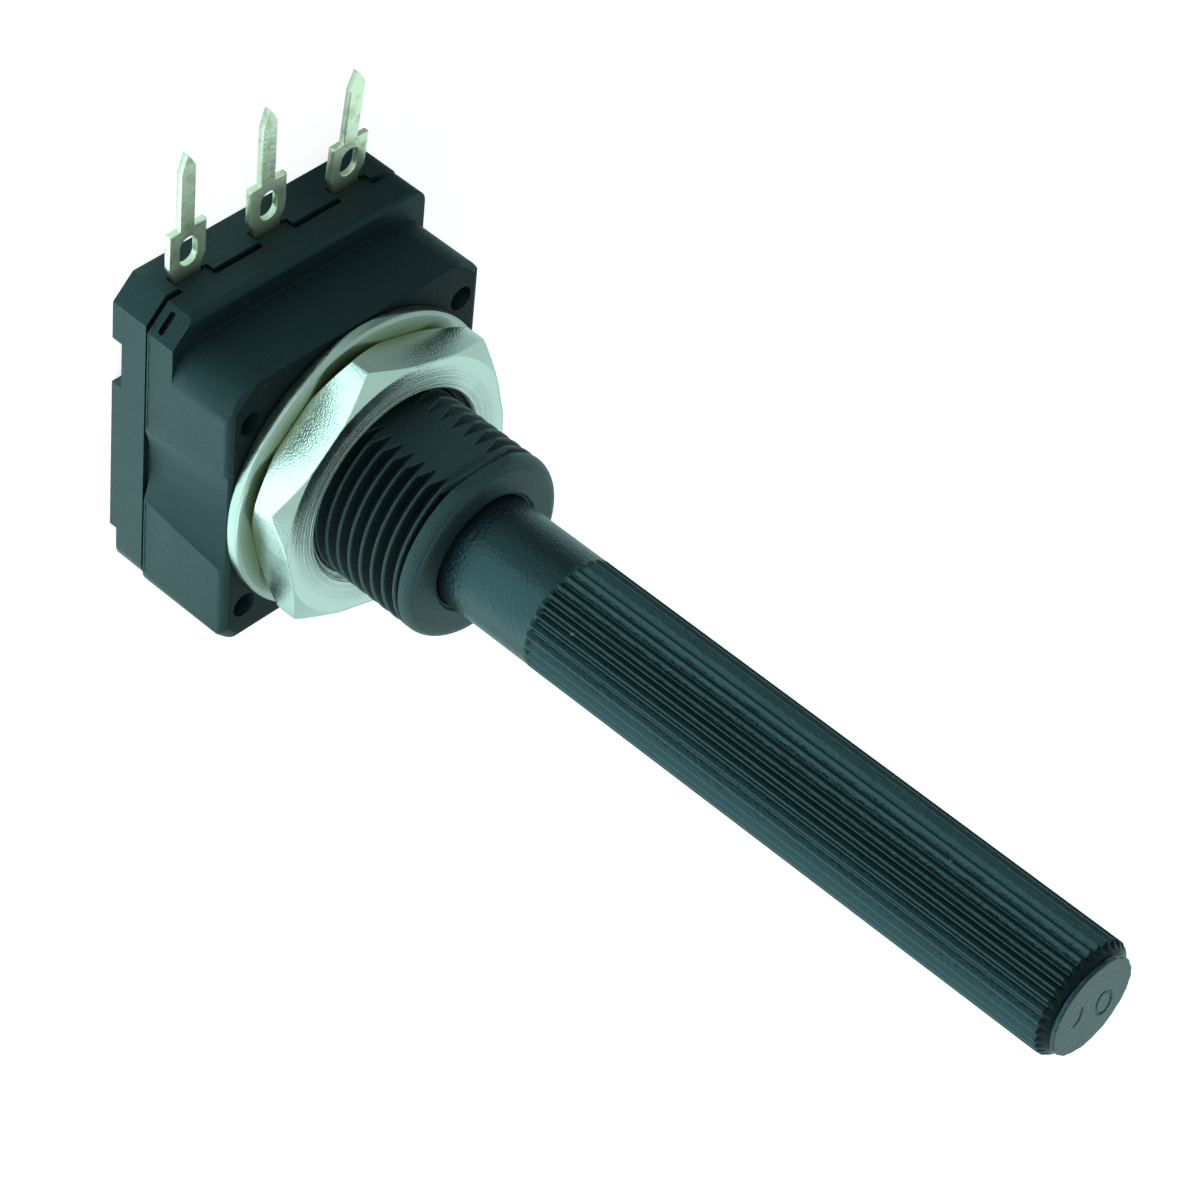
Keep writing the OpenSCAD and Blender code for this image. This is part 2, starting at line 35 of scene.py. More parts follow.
MM = 0.001
FULL_TURN = 2 * math.pi
AXIS_RADIUS = 0.001
BLACK = (0.0, 0.0, 0.0, 1.0)
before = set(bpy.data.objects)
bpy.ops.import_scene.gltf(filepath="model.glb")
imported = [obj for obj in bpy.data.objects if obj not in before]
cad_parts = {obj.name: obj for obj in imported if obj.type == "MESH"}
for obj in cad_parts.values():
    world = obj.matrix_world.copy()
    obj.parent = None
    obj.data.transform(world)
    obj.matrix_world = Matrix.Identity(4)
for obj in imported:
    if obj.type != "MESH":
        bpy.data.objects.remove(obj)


class PotSettings(bpy.types.PropertyGroup):
    """Sizes in millimetres and colours of the potentiometer's visible pieces."""

    case_z: bpy.props.FloatProperty(
        name="Case front", description="Height of the mounting face in mm", default=8.15,
    )
    thread_pitch: bpy.props.FloatProperty(
        name="Thread pitch", description="Rise of the bush's thread in mm a turn", default=0.75,
    )
    thread_depth: bpy.props.FloatProperty(
        name="Thread depth", description="Depth of the thread grooves in mm", default=0.44,
    )
    bush_r: bpy.props.FloatProperty(
        name="Bush radius", description="Radius over the thread crests in mm", default=4.94,
    )
    bush_end: bpy.props.FloatProperty(
        name="Bush end", description="Height of the bush's end in mm", default=17.15,
    )
    bush_flat: bpy.props.FloatProperty(
        name="Bush flat", description="Distance of the smooth flats from the axis in mm", default=4.33,
    )
    spline_count: bpy.props.IntProperty(
        name="Spline teeth", description="Number of teeth on the spindle", default=32,
    )
    spline_depth: bpy.props.FloatProperty(
        name="Spline depth", description="Depth of the spline grooves in mm", default=0.25,
    )
    spline_start: bpy.props.FloatProperty(
        name="Spline start", description="Height where the splines begin in mm", default=22.55,
    )
    tip_z: bpy.props.FloatProperty(
        name="Spindle tip", description="Height of the spindle's tip in mm", default=54.05,
    )
    terminal_lean: bpy.props.FloatProperty(
        name="Terminal lean", description="Slope to which the right terminal is bent forward", default=0.085,
    )
    case_colour: bpy.props.FloatVectorProperty(
        name="Case colour", description="Colour of the moulded case", subtype="COLOR",
        default=(0.0035, 0.0060, 0.0066),
    )
    spindle_colour: bpy.props.FloatVectorProperty(
        name="Spindle colour", description="Colour of the spindle", subtype="COLOR",
        default=(0.0045, 0.0085, 0.0095),
    )
    nut_flats: bpy.props.FloatProperty(
        name="Nut flats", description="Width across the nut's flats in mm", default=13.9,
    )
    nut_front: bpy.props.FloatProperty(
        name="Nut front", description="Height of the nut's front face in mm", default=11.2,
    )
    nut_back: bpy.props.FloatProperty(
        name="Nut back", description="Height of the nut's rear face in mm", default=8.85,
    )
    nut_angle: bpy.props.FloatProperty(
        name="Nut angle", description="Angle of one of the nut's corners in degrees", default=-16.5,
    )
    washer_r: bpy.props.FloatProperty(
        name="Washer radius", description="Outer radius of the washer in mm", default=8.044,
    )
    metal_colour: bpy.props.FloatVectorProperty(
        name="Plating colour", description="Colour of the plated steel", subtype="COLOR",
        default=(0.62, 0.67, 0.60),
    )
    tin_colour: bpy.props.FloatVectorProperty(
        name="Tin colour", description="Colour of the tinned terminals", subtype="COLOR",
        default=(0.98, 0.99, 0.74),
    )


def settings():
    """The sizes and colours kept with the Blender scene."""
    return bpy.context.scene.pot_settings


# Surfaces built from grids of points

def mesh_from_grid(name, points, close_rows=False, close_columns=False, caps=False, smooth=True):
    """Turns a grid of points, rows by columns, into one mesh. It can join the last row or column
    to the first, and with caps it fills the first and the last row with one polygon each."""
    rows, columns = points.shape[:2]
    index = np.arange(rows * columns).reshape(rows, columns)
    upper = np.roll(index, -1, axis=0) if close_rows else index[1:]
    lower = index if close_rows else index[:-1]
    if close_columns:
        corners = (lower, np.roll(lower, -1, axis=1), np.roll(upper, -1, axis=1), upper)
    else:
        corners = (lower[:, :-1], lower[:, 1:], upper[:, 1:], upper[:, :-1])
    quads = np.stack(corners, axis=-1).reshape(-1, 4)
    loops = quads.ravel()
    starts = np.arange(len(quads)) * 4
    totals = np.full(len(quads), 4)
    if caps:
        loops = np.concatenate([loops, index[0][::-1], index[-1]])
        starts = np.concatenate([starts, [quads.size, quads.size + columns]])
        totals = np.concatenate([totals, [columns, columns]])
    mesh = bpy.data.meshes.new(name)
    mesh.vertices.add(rows * columns)
    mesh.vertices.foreach_set("co", (points.reshape(-1, 3) * MM).ravel())
    mesh.loops.add(len(loops))
    mesh.loops.foreach_set("vertex_index", loops.astype(np.int32))
    mesh.polygons.add(len(starts))
    mesh.polygons.foreach_set("loop_start", starts.astype(np.int32))
    mesh.polygons.foreach_set("loop_total", totals.astype(np.int32))
    mesh.update(calc_edges=True)
    mesh.validate()
    mesh.polygons.foreach_set("use_smooth", np.full(len(mesh.polygons), smooth))
    piece = bpy.data.objects.new(name, mesh)
    bpy.context.scene.collection.objects.link(piece)
    return piece


def round_radius(theta, heights, radii):
    """Radius of a plain turned form, the same at every angle."""
    return radii + 0 * theta


def revolve(rows, angles, radius_at=round_radius):
    """Grid of points round the axis. Each row is a height and a radius, and radius_at may change
    that radius with the angle and the height."""
    heights, radii = (column[:, None] for column in np.array(rows, float).T)
    theta = angles[None, :]
    radius = radius_at(theta, heights, radii)
    height = np.broadcast_to(heights, radius.shape)
    return np.stack([radius * np.cos(theta), radius * np.sin(theta), height], axis=-1)


def turn_angles(count):
    """Even angles round a full turn, in radians."""
    return np.linspace(0, FULL_TURN, count, endpoint=False)


def smooth_step(value):
    """Rises from 0 to 1 with a soft start and end as the value goes from 0 to 1."""
    value = np.clip(value, 0.0, 1.0)
    return value * value * (3.0 - 2.0 * value)


def soft_min(first, second, width):
    """Lower of two values, blended over a width where they come close."""
    share = np.clip(0.5 + 0.5 * (second - first) / width, 0.0, 1.0)
    return second * (1 - share) + first * share - width * share * (1 - share)


def ring_arc(centre_r, centre_z, radius, start, end, count):
    """Arc in the plane of radius and height, as pairs of height and radius; angles in degrees."""
    turns = np.radians(np.linspace(start, end, count))
    return [(centre_z + radius * math.sin(turn), centre_r + radius * math.cos(turn)) for turn in turns]


# Parts of the materials' node trees

def set_inputs(tree, node, values):
    """Gives each input its value, which is a plain one or the output that the input follows."""
    for name, value in values.items():
        if isinstance(value, bpy.types.NodeSocket):
            tree.links.new(value, node.inputs[name])
        else:
            node.inputs[name].default_value = value


def new_node(tree, kind, values=None, **options):
    """Adds a node of a kind, with its options and input values."""
    node = tree.nodes.new(kind)
    for option, value in options.items():
        setattr(node, option, value)
    set_inputs(tree, node, values or {})
    return node


def object_place(tree):
    """Output with the point's place in the object's own coordinates, in metres."""
    return new_node(tree, "ShaderNodeTexCoord").outputs["Object"]


def noise(tree, place, scale, detail, roughness=0.5):
    """Noise over a place, as a tone from 0 to 1."""
    values = {"Vector": place, "Scale": scale, "Detail": detail, "Roughness": roughness}
    return new_node(tree, "ShaderNodeTexNoise", values).outputs["Fac"]


def map_range(tree, value, span, tones, interpolation="LINEAR"):
    """Tone that goes from the first to the second of two as the value crosses a span."""
    values = {
        "Value": value, "From Min": span[0], "From Max": span[1], "To Min": tones[0], "To Max": tones[1],
    }
    node = new_node(tree, "ShaderNodeMapRange", values, interpolation_type=interpolation)
    return node.outputs["Result"]


def compute(tree, operation, *values):
    """Result of an operation on numbers, each a plain one or an output."""
    return new_node(tree, "ShaderNodeMath", dict(enumerate(values)), operation=operation).outputs[0]


def scaled(tree, colour, factor):
    """Plain colour multiplied by a factor."""
    values = {0: colour, "Scale": factor}
    return new_node(tree, "ShaderNodeVectorMath", values, operation="SCALE").outputs["Vector"]


def mixed(tree, factor, first, second):
    """Colour that goes from the first to the second as the factor goes from 0 to 1."""
    node = new_node(tree, "ShaderNodeMix", data_type="RGBA")
    set_inputs(tree, node, {"Factor": factor, "A": first, "B": second})
    return node.outputs["Result"]


def distance(tree, place, axes):
    """Length of the part of a place that lies along the axes."""
    along = new_node(tree, "ShaderNodeVectorMath", {0: place, 1: axes}, operation="MULTIPLY")
    values = {0: along.outputs["Vector"]}
    return new_node(tree, "ShaderNodeVectorMath", values, operation="LENGTH").outputs["Value"]


def node_group(name, inputs, outputs):
    """New shader group with number inputs and their values, and outputs with their kinds."""
    group = bpy.data.node_groups.new(name, "ShaderNodeTree")
    for label, value in inputs.items():
        socket = group.interface.new_socket(label, in_out="INPUT", socket_type="NodeSocketFloat")
        socket.default_value = value
    for label, kind in outputs.items():
        group.interface.new_socket(label, in_out="OUTPUT", socket_type=kind)
    return group, group.nodes.new("NodeGroupInput"), group.nodes.new("NodeGroupOutput")


def grain_group():
    """Matt grain: a fine noise as a normal, a larger mottle as a tone, and a few specks as a mask."""
    name = "Matt grain"
    if name in bpy.data.node_groups:
        return bpy.data.node_groups[name]
    outputs = {"Normal": "NodeSocketVector", "Mottle": "NodeSocketFloat", "Dust": "NodeSocketFloat"}
    group, enter, leave = node_group(name, {"Scale": 9000.0, "Strength": 0.25}, outputs)
    place = object_place(group)
    fine = noise(group, place, enter.outputs["Scale"], 3.0)
    relief = {"Distance": 0.12 * MM, "Height": fine, "Strength": enter.outputs["Strength"]}
    bump = new_node(group, "ShaderNodeBump", relief)
    mottle = noise(group, place, 450.0, 5.0, roughness=0.62)
    cells = new_node(group, "ShaderNodeTexVoronoi", {"Vector": place, "Scale": 520.0})
    cell_tone = new_node(group, "ShaderNodeSeparateColor", {"Color": cells.outputs["Color"]})
    small = compute(group, "LESS_THAN", cells.outputs["Distance"], 0.055)
    few = compute(group, "GREATER_THAN", cell_tone.outputs["Red"], 0.72)
    dust = compute(group, "MULTIPLY", small, few)
    set_inputs(group, leave, {"Normal": bump.outputs["Normal"], "Mottle": mottle, "Dust": dust})
    return group


def shade_limits(kind):
    """Where a kind of shade lies, each limit as a measure, a comparison and a size in mm. Face is the
    mounting face, painted shade where the nut and washer shade it; groove is the bush's thread below its
    crests, off the flats and short of the rounded end, painted shade down in the grooves; tip is the ring of
    tooth ends at the spindle's tip, which only gets less shine."""
    sizes = settings()
    if kind == "face":
        return [("height", "GREATER_THAN", sizes.case_z - 0.03)]
    if kind == "tip":
        return [("height", "GREATER_THAN", sizes.tip_z - 0.73), ("height", "LESS_THAN", sizes.tip_z - 0.22)]
    return [
        ("radius", "LESS_THAN", sizes.bush_r - 0.08),
        ("side", "LESS_THAN", sizes.bush_flat - 0.02),
        ("height", "LESS_THAN", sizes.bush_end - 0.8),
    ]


def measured(tree, measure):
    """Height, distance from the axis (radius) or distance from the plane y = 0 (side), in metres."""
    place = object_place(tree)
    if measure == "height":
        return new_node(tree, "ShaderNodeSeparateXYZ", {0: place}).outputs["Z"]
    axes = {"radius": (1.0, 1.0, 0.0), "side": (0.0, 1.0, 0.0)}
    return distance(tree, place, axes[measure])


def shade_group(kind):
    """Mask of the places where a kind of shade lies."""
    name = "Dim " + kind
    if name in bpy.data.node_groups:
        return bpy.data.node_groups[name]
    group, _, leave = node_group(name, {}, {"Mask": "NodeSocketFloat"})
    mask = 1.0
    for measure, comparison, limit in shade_limits(kind):
        passed = compute(group, comparison, measured(group, measure), limit * MM)
        mask = compute(group, "MULTIPLY", mask, passed)
    set_inputs(group, leave, {"Mask": mask})
    return group


def painted_olive_shade(tree, place, tone, axes, start, end):
    """Painted shade: tone that turns dark olive where the distance along the axes falls from the end to the
    start, in mm, as it nears the part that shades it.
    """
    fade = map_range(tree, distance(tree, place, axes), (start * MM, end * MM), (0.0, 1.0), "SMOOTHSTEP")
    # The dark olive colour is painted shade.
    return mixed(tree, fade, (0.20, 0.22, 0.13, 1.0), tone)


def turning_marks(tree, place, under):
    """Fine rings about the axis over another normal, strong near the bore and faint further out."""
    radius = distance(tree, place, (1.0, 1.0, 0.0))
    fine = {"W": radius, "Scale": 6500.0, "Detail": 5.0, "Roughness": 0.7}
    band = new_node(tree, "ShaderNodeTexNoise", fine, noise_dimensions="1D").outputs["Fac"]
    fade = map_range(tree, radius, (5.8 * MM, 7.1 * MM), (1.0, 0.12), "SMOOTHSTEP")
    relief = {"Distance": 0.07 * MM, "Height": band, "Strength": fade, "Normal": under}
    return new_node(tree, "ShaderNodeBump", relief).outputs["Normal"]


# Materials

def new_material(name):
    """New material, with its node tree and its surface node."""
    mat = bpy.data.materials.new(name)
    mat.use_nodes = True
    return mat, mat.node_tree, mat.node_tree.nodes["Principled BSDF"]


def plastic(name, colour, roughness, grain, scale, shade, shine=0.42, dust=0.8, tint=(0.6, 0.97, 1.0, 1.0)):
    """Dark moulding: mottled colour, fine grain, a few pale specks of dust, and less shine where a kind of
    shade lies, which is painted shade on the mounting face and down in the bush's thread."""
    dust_colour, shaded_shine = (0.55, 0.62, 0.6, 1.0), 0.15
    mat, tree, surface = new_material(name)
    values = {"Strength": grain, "Scale": scale}
    grains = new_node(tree, "ShaderNodeGroup", values, node_tree=grain_group())
    mottle = grains.outputs["Mottle"]
    tone = map_range(tree, mottle, (0.3, 0.7), (0.82, 1.18))
    speck = compute(tree, "MULTIPLY", grains.outputs["Dust"], dust)
    mask = new_node(tree, "ShaderNodeGroup", node_tree=shade_group(shade)).outputs["Mask"]
    set_inputs(tree, surface, {
        "Base Color": mixed(tree, speck, scaled(tree, colour, tone), dust_colour),
        "Roughness": map_range(tree, mottle, (0.0, 1.0), (roughness - 0.05, roughness + 0.07)),
        "Normal": grains.outputs["Normal"],
        # Shine lowered inside the shade mask: painted shade on the mounting face and in the thread grooves.
        "Specular IOR Level": map_range(tree, mask, (0.0, 1.0), (shine, shaded_shine)),
        "Specular Tint": tint,
    })
    return mat


def plated(name, colour, roughness, olive=None, stain=0.0, metallic=1.0, peel_scale=5200.0, rings=False):
    """Plated steel: satin metal with faint cloudiness and stains, painted olive shade in a zone and with
    turning rings about the axis if asked."""
    mat, tree, surface = new_material(name)
    place = object_place(tree)
    cloud = noise(tree, place, 700.0, 6.0)
    spot = map_range(tree, noise(tree, place, 1500.0, 4.0), (0.52, 0.66), (0.0, stain))
    tone = mixed(tree, spot, (*colour, 1.0), (0.42, 0.36, 0.22, 1.0))
    # Painted shade: a dark olive zone next to the part that shades the metal.
    if olive:
        tone = painted_olive_shade(tree, place, tone, *olive)
    peel = noise(tree, place, peel_scale, 2.0)
    relief = {"Distance": 0.02 * MM, "Height": peel, "Strength": 0.8}
    normal = new_node(tree, "ShaderNodeBump", relief).outputs["Normal"]
    if rings:
        normal = turning_marks(tree, place, normal)
    set_inputs(tree, surface, {
        "Base Color": tone,
        "Metallic": metallic,
        "Roughness": map_range(tree, cloud, (0.3, 0.7), (roughness - 0.05, roughness + 0.08)),
        "Normal": normal,
    })
    return mat


def printed(name, colour, roughness, metallic=0.0):
    """Plain printed or pressed surface with a slight noise in its tone."""
    mat, tree, surface = new_material(name)
    tone = map_range(tree, noise(tree, object_place(tree), 1800.0, 4.0), (0.0, 1.0), (0.85, 1.15))
    values = {"Base Color": scaled(tree, colour, tone), "Roughness": roughness, "Metallic": metallic}
    set_inputs(tree, surface, values)
    return mat


def case_moulding(name):
    """Case, cover and moulding lines: satin, with a greenish sheen, and less shine on the mounting face as
    painted shade from the nut and washer.
    """
    colour, tint = settings().case_colour, (0.5, 0.97, 1.0, 1.0)
    return plastic(name, colour, 0.46, grain=0.6, scale=14000.0, shade="face", tint=tint)


def bush_moulding(name):
    """Bush: the case's plastic, a little smoother, and darker down in the thread, as painted shade."""
    colour = settings().case_colour
    return plastic(name, colour, 0.4, grain=0.6, scale=14000.0, shade="groove", shine=0.72)


def spindle_moulding(name):
    """Spindle: glossier plastic with a coarser grain."""
    colour, sheen = settings().spindle_colour, {"shine": 0.62, "tint": (0.55, 0.93, 1.0, 1.0)}
    return plastic(name, colour, 0.32, grain=0.3, scale=5000.0, shade="tip", dust=0.5, **sheen)


def nut_plating(name):
    """Nut: bright plating over fine turning rings."""
    return plated(name, settings().metal_colour, 0.2, peel_scale=11000.0, rings=True)


def washer_plating(name):
    """Washer: duller plating, with painted olive shade towards the nut."""
    colour = tuple(0.66 * part for part in settings().metal_colour)
    # The olive zone near the nut, inside 8 mm from the axis, is painted shade.
    return plated(name, colour, 0.3, olive=((1.0, 1.0, 0.0), 7.0, 8.0))


def tinning(name):
    """Terminals and rivets: stained tin, with painted olive shade at the terminals' feet, where they leave
    the case.
    """
    # The olive zone below 10.7 mm is painted shade where the terminals meet the case.
    olive = ((0.0, 1.0, 0.0), 9.2, 10.7)
    return plated(name, settings().tin_colour, 0.36, olive=olive, stain=0.45, metallic=0.85)


def silvering(name):
    """Silvered leads and the sprung wiper."""
    return printed(name, (0.78, 0.77, 0.72), 0.35, metallic=1.0)


def carbon_film(name):
    """Printed resistance track."""
    return printed(name, (0.012, 0.012, 0.013), 0.6)


def resin_wafer(name):
    """Brown insulating wafer."""
    return printed(name, (0.30, 0.17, 0.08), 0.65)


FINISHES = {
    "case moulding": case_moulding,
    "bush moulding": bush_moulding,
    "spindle moulding": spindle_moulding,
    "nut plating": nut_plating,
    "washer plating": washer_plating,
    "tinning": tinning,
    "silvering": silvering,
    "carbon film": carbon_film,
    "resin wafer": resin_wafer,
}


def material(key):
    """Returns the named finish, made once."""
    if key in bpy.data.materials:
        return bpy.data.materials[key]
    return FINISHES[key](key)


# Finishing of pieces

def paint(piece, key):
    """Gives a piece one finish in place of what it had."""
    piece.data.materials.clear()
    piece.data.materials.append(material(key))


def dress(piece, key, body, node=None):
    """Gives a new piece its finish and body, and hides the CAD nodes it takes the place of."""
    paint(piece, key)
    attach(piece, body)
    if node:
        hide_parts(*node)


def bevel(piece):
    """Softens a piece's sharp edges."""
    mod = piece.modifiers.new("Soft edges", "BEVEL")
    mod.width = 0.12 * MM
    mod.segments = 3
    mod.limit_method = "ANGLE"
    mod.angle_limit = math.radians(32.0)
    mod.harden_normals = True


def even_shading(piece):
    """Lets the large faces set the normals, so that flats stay flat beside their soft edges."""
    mod = piece.modifiers.new("Even shading", "WEIGHTED_NORMAL")
    mod.mode = "FACE_AREA"
    mod.weight = 60


class POT_OT_case(bpy.types.Operator):
    """Finishes the moulded case and cover: both CAD solids get softened edges, and the case's own
    bush is cut off just above the mounting face, so that the threaded surface takes its place."""

    bl_idname = "pot.case"
    bl_label = "Case and cover"

    def execute(self, context):
        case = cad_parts["front_housing"]
        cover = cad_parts["rear_cover"]
        cut = case.modifiers.new("Bush off", "BOOLEAN")
        cut.operation = "DIFFERENCE"
        cut.solver = "EXACT"
        cut.object = self.cutter()
        for piece in (case, cover):
            bevel(piece)
            paint(piece, "case moulding")
        return {"FINISHED"}

    @staticmethod
    def cutter():
        """Unseen cylinder, wider than the bush, from a little above the face past the bush's end."""
        sizes = settings()
        low, high, wide = sizes.case_z + 0.12, sizes.bush_end + 2.0, 7.0
        rows = [(low, AXIS_RADIUS), (low, wide), (high, wide), (high, AXIS_RADIUS)]
        points = revolve(rows, turn_angles(48))
        cutter = mesh_from_grid("bush_cutter", points, close_columns=True, caps=True, smooth=False)
        cutter.hide_render = True
        cutter.hide_viewport = True
        return cutter


class POT_OT_bush(bpy.types.Operator):
    """Threaded bush: one closed surface. Its section runs up the bore, round the recess and the
    end lip, over the rounded end and down the outside, where the radius drops by a V-shaped
    groove whose phase is height over pitch less angle over a full turn, and never exceeds the
    distance of the smooth flats divided by the sine of the angle."""

    bl_idname = "pot.bush"
    bl_label = "Threaded bush"

    rounding = 0.78
    arc_rows = 30
    rows_a_turn = 26
    columns = 260
    end_rise = 0.3
    blend = 0.04

    def execute(self, context):
        sizes = settings()
        base, end, out = sizes.case_z + 0.05, sizes.bush_end, sizes.bush_r
        bend_z, side_top = end - self.rounding, end - self.rounding - 0.02
        steps = int(round((side_top - base) / sizes.thread_pitch * self.rows_a_turn))
        inner = [*self.inner_rows(base, end), (end, out - self.rounding)]
        arc = ring_arc(out - self.rounding, bend_z, self.rounding, 87, 0, self.arc_rows)
        side = [(height, out) for height in np.linspace(side_top, base, steps)]
        foot = [(base, out - 0.9), (base, 3.4)]
        bend_start, side_start = len(inner) - 1, len(inner) + len(arc)

        def radius_at(theta, heights, radii):
            row = np.arange(len(radii))[:, None]
            on_bend = (row >= bend_start) & (row < side_start)
            on_side = (row >= side_start) & (row < side_start + steps)
            fade = smooth_step((bend_z + 0.02 - heights) / 0.14)
            threaded = radii - self.groove_depth(sizes, theta, heights) * fade
            flat = sizes.bush_flat / np.maximum(np.abs(np.sin(theta)), 0.2)
            rise = smooth_step((heights - (bend_z - 1.1)) / 0.9) * self.end_rise
            mould_line = 0.05 * np.exp(-((heights - end + 0.13) / 0.025) ** 2)
            flat_side = soft_min(threaded, flat + rise, self.blend)
            flat_bend = soft_min(radii + 0 * flat, flat + self.end_rise, self.blend) - mould_line
            return np.where(on_side, flat_side, np.where(on_bend, flat_bend, radii + 0 * theta))

        points = revolve([*inner, *arc, *side, *foot], turn_angles(self.columns), radius_at)
        piece = mesh_from_grid("bush_thread", points[::-1], close_rows=True, close_columns=True)
        dress(piece, "bush moulding", "housing")
        return {"FINISHED"}

    @staticmethod
    def inner_rows(base, end):
        """Rows up the bore, round the shallow recess and out over the end face."""
        bore, recess, face = 3.03, 3.2, 3.5
        rows = [(height, bore) for height in np.linspace(base, end - 0.5, 6)]
        rows += [(end - 0.2, bore - 0.01), (end - 0.16, bore + 0.01), (end - 0.15, recess - 0.1)]
        rows += [(end - 0.13, recess - 0.03), (end - 0.03, recess), (end - 0.005, recess + 0.03)]
        return [*rows, (end, recess + 0.08), (end, face)]

    @staticmethod
    def groove_depth(sizes, theta, heights):
        """Depth of the thread's groove, where away runs from 0 in a root to 1 on a crest."""
        start_phase, crest_edge, slope = 0.1, 0.87, 0.78
        phase = np.mod(heights / sizes.thread_pitch - theta / FULL_TURN + start_phase, 1.0)
        away = np.abs(phase - 0.5) * 2.0
        return sizes.thread_depth * np.clip((crest_edge - away) / slope, 0.0, 1.0)


class POT_OT_spindle(bpy.types.Operator):
    """Spindle: one closed surface about the axis. The splines take their depth from a trapezoid
    wave of the angle, times a short ramp in height; a cone limits the radius at the tip, and the
    end disc carries two shallow marks."""

    bl_idname = "pot.spindle"
    bl_label = "Splined spindle"

    tang_half, tang_corner = 1.8, 2.52
    plain_r, tooth_r = 2.98, 3.0
    worn_height, disc_r = 0.23, 2.4
    marks = (
        ((-0.84, 0.58), (-0.86, 0.15), (-0.92, -0.22), (-1.18, -0.34)),
        ((1.27, -0.25), (1.10, 0.22), (0.78, 0.45), (0.46, 0.42), (0.27, 0.06), (0.30, -0.40),
         (0.48, -0.80), (0.80, -1.05), (1.08, -1.05), (1.29, -0.78), (1.33, -0.45), (1.27, -0.25)),
    )

    def execute(self, context):
        sizes = settings()
        tip, start = sizes.tip_z, sizes.spline_start
        rows = self.lower_rows() + self.splined_rows(start, tip)
        face = len(rows)
        rows += [(tip, radius) for radius in np.linspace(2.46, AXIS_RADIUS, 62)]

        def radius_at(theta, heights, radii):
            row = np.arange(len(radii))[:, None]
            on_tang = (row >= 1) & (row <= 4)
            across = np.maximum(np.abs(np.cos(theta)), np.abs(np.sin(theta)))
            square = np.minimum(self.tang_half / across, self.tang_corner) * (radii / self.tang_half)
            on_splines = (heights > start + 0.01) & (heights < tip - self.worn_height)
            cone = 3.03 - 0.62 * np.clip((heights - (tip - 0.78)) / 0.6, 0.0, 2.0) ** 1.35
            splined = soft_min(radii - self.valley_depth(sizes, theta, heights), cone, 0.04)
            on_worn_edge = (heights > tip - self.worn_height) & (radii > self.disc_r)
            waves = np.sin(11 * theta) + np.sin(23 * theta + 1.0) + np.sin(5 * theta + 2.0)
            worn = radii * np.where(on_worn_edge, 1.0 + 0.005 * waves, 1.0)
            return np.where(on_tang, square, np.where(on_splines, splined, worn))

        points = revolve(rows, self.tooth_angles(sizes.spline_count), radius_at)
        points[face:, :, 2] -= self.mark_depth(points[face:, :, 0], points[face:, :, 1])
        piece = mesh_from_grid("spindle_surface", points, close_columns=True, caps=True)
        dress(piece, "spindle moulding", "spindle", node=["spindle"])
        return {"FINISHED"}

    def lower_rows(self):
        """Rows of the square tang, the disc inside the case and the plain shank."""
        foot, disc, shank, half, wide, plain = 2.7, 5.7, 6.7, self.tang_half, 4.2, self.plain_r
        rows = [(foot, AXIS_RADIUS), (foot, half - 0.1), (foot + 0.02, half - 0.02), (disc - 0.01, half)]
        rows += [(disc, half), (disc, wide - 0.05), (disc + 0.04, wide), (shank - 0.04, wide)]
        return [*rows, (shank, wide - 0.05), (shank, plain), (9.0, plain), (17.0, plain)]

    def splined_rows(self, start, tip):
        """Rows from the end of the collar over the splines and the tip's edge to the end disc."""
        out = self.tooth_r
        rows = [(height, self.plain_r) for height in np.linspace(start - 0.12, start, 4)]
        rows += [(start + up, out) for up in (0.02, 0.06, 0.1, 0.15, 0.2, 0.26, 0.32, 0.4, 0.5, 0.6)]
        rows += [(height, out) for height in np.linspace(start + 1.0, tip - 1.3, 14)]
        rows += [(tip - down, out) for down in (1.0, 0.85, 0.75, 0.68, 0.6, 0.5, 0.42, 0.34, 0.28, 0.24)]
        rows += [(tip - 0.22, 2.57), (tip - 0.16, 2.565), (tip - 0.05, 2.56), (tip - 0.015, 2.54)]
        return [*rows, (tip, 2.5)]

    @staticmethod
    def tooth_angles(count):
        """Angles round the teeth, close together at the flanks' ends. The share of a tooth's pitch
        runs from 0 on one crest to 1 on the next, with the valley's middle at a half."""
        half = np.array([0.0, 0.04, 0.055, 0.07, 0.14, 0.23, 0.33, 0.41, 0.44, 0.46])
        tooth = np.concatenate([half, [0.5], 1.0 - half[:0:-1]])
        return ((np.arange(count)[:, None] + tooth[None, :]) * (FULL_TURN / count)).ravel()

    @staticmethod
    def valley_depth(sizes, theta, heights):
        """Depth of the spline valleys: flat crests and roots with straight flanks between."""
        crest_half, flank, ramp = 0.055, 0.385, 0.3
        phase = np.mod(theta * sizes.spline_count / FULL_TURN, 1.0)
        valley = np.clip((0.5 - np.abs(phase - 0.5) - crest_half) / flank, 0.0, 1.0)
        return sizes.spline_depth * valley * smooth_step((heights - sizes.spline_start) / ramp)

    def mark_depth(self, x, y):
        """Depth of the two marks in the end disc, by the distance from their strokes."""
        depth, half_width, soft = 0.06, 0.10, 0.06
        strokes = [ends for path in self.marks for ends in zip(path[:-1], path[1:])]
        near = np.min([self.stroke(x, y, first, last) for first, last in strokes], axis=0)
        return depth * smooth_step((half_width - near) / soft)

    @staticmethod
    def stroke(x, y, first, last):
        """Distance of the points from a straight stroke between two ends."""
        dx, dy = last[0] - first[0], last[1] - first[1]
        share = np.clip(((x - first[0]) * dx + (y - first[1]) * dy) / (dx * dx + dy * dy), 0.0, 1.0)
        return np.hypot(x - first[0] - share * dx, y - first[1] - share * dy)


